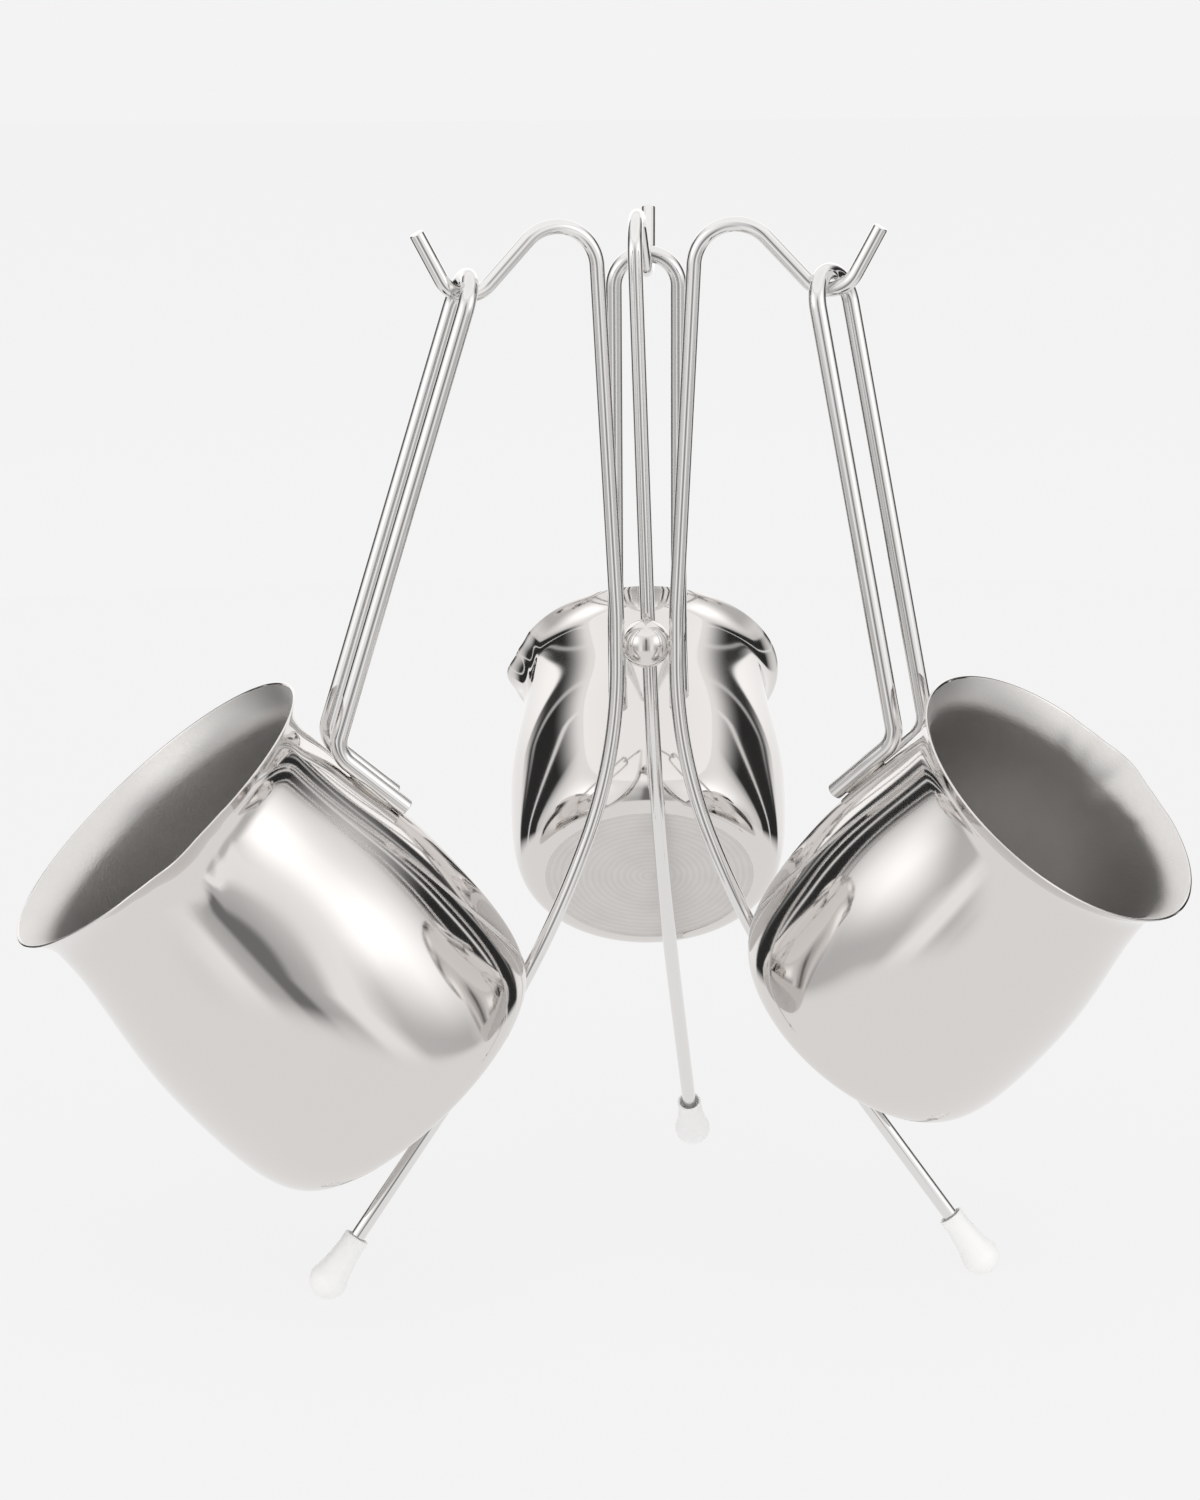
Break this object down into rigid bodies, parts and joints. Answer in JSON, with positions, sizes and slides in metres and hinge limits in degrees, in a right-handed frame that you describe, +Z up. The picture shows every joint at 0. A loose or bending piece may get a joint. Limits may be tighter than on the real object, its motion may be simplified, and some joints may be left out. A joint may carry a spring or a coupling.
{
  "type": "mug tree",
  "caption": "Wire stand whose bent arms meet at a welded ball and end in hooks, carrying lidless steel coffee pots that hang by long looped wire handles",
  "frame": {"origin": "on the table, under the middle of the ball that joins the three arms", "axes": "+Z up, +X to the right seen from the front, +Y to the back"},
  "size_m": [0.307, 0.207, 0.2861],
  "materials": {
    "polished_wire": "bright polished stainless wire",
    "polished_ball": "mirror polished ball",
    "weld_metal": "smooth spot weld",
    "white_cap": "slightly glossy white moulded cap",
    "polished_steel": "mirror polished outside, satin inside",
    "handle_wire": "bright polished stainless wire"
  },
  "bodies": {
    "stand": {"back_arm": "polished_wire", "back_arm_weld": "weld_metal", "back_foot_cap": "white_cap", "centre_ball": "polished_ball", "left_arm": "polished_wire", "left_arm_weld": "weld_metal", "left_foot_cap": "white_cap", "right_arm": "polished_wire", "right_arm_weld": "weld_metal", "right_foot_cap": "white_cap"},
    "left_pot": {"left_pot_far_weld": "weld_metal", "left_pot_handle": "handle_wire", "left_pot_near_weld": "weld_metal", "left_pot_shell": "polished_steel"},
    "right_pot": {"right_pot_far_weld": "weld_metal", "right_pot_handle": "handle_wire", "right_pot_near_weld": "weld_metal", "right_pot_shell": "polished_steel"},
    "back_pot": {"back_pot_far_weld": "weld_metal", "back_pot_handle": "handle_wire", "back_pot_near_weld": "weld_metal", "back_pot_shell": "polished_steel"}
  },
  "joints": [
    {"name": "left_pot_lift", "type": "slide", "parent": "stand", "child": "left_pot", "axis": [-0.4439, -0.1528, 0.8829], "range_m": [0, 0.06]},
    {"name": "right_pot_lift", "type": "slide", "parent": "stand", "child": "right_pot", "axis": [0.4623, -0.0815, 0.8829], "range_m": [0, 0.06]},
    {"name": "back_pot_lift", "type": "slide", "parent": "stand", "child": "back_pot", "axis": [0.0143, 0.4703, 0.8824], "range_m": [0, 0.06]}
  ]
}
